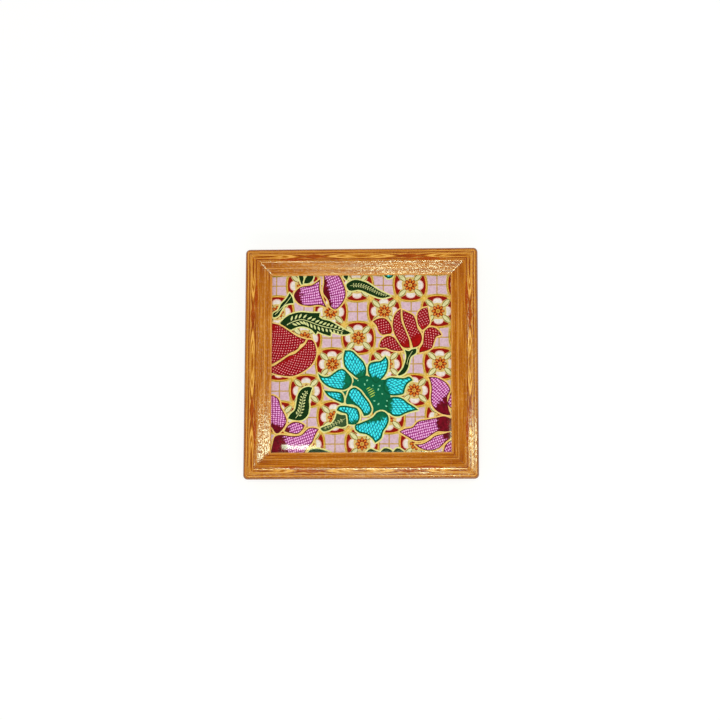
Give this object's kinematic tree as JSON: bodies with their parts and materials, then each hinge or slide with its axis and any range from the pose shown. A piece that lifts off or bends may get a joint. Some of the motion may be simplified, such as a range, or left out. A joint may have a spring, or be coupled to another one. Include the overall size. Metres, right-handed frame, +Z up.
{
  "type": "framed ceramic coaster",
  "caption": "Square coaster: a glazed ceramic tile with a batik print, held in a raised mitred wood-effect frame on a cork base, for standing a cup or glass on.",
  "frame": {"origin": "centre of the cork base's underside, on the table", "axes": "+Z up, out of the glazed face; -Y towards the edge nearest the viewer in the picture; +X to the right there"},
  "size_m": [0.1168, 0.1168, 0.0102],
  "materials": {
    "wood_effect": "glossy lacquer over a printed wood grain",
    "glazed_tile": "glossy glaze over a batik print",
    "foam_pad": "matt foam",
    "hardboard": "smooth pressed board",
    "cork": "sanded agglomerated cork",
    "steel": "bright strip"
  },
  "bodies": {
    "root": {"cork_base": "cork", "back_board": "hardboard", "tile_adhesive_pad": "foam_pad", "ceramic_tile": "glazed_tile", "frame_rail_front": "wood_effect", "frame_rail_right": "wood_effect", "frame_rail_back": "wood_effect", "frame_rail_left": "wood_effect", "corner_nail_front_left": "steel", "corner_nail_front_right": "steel", "corner_nail_back_right": "steel", "corner_nail_back_left": "steel"}
  },
  "joints": []
}
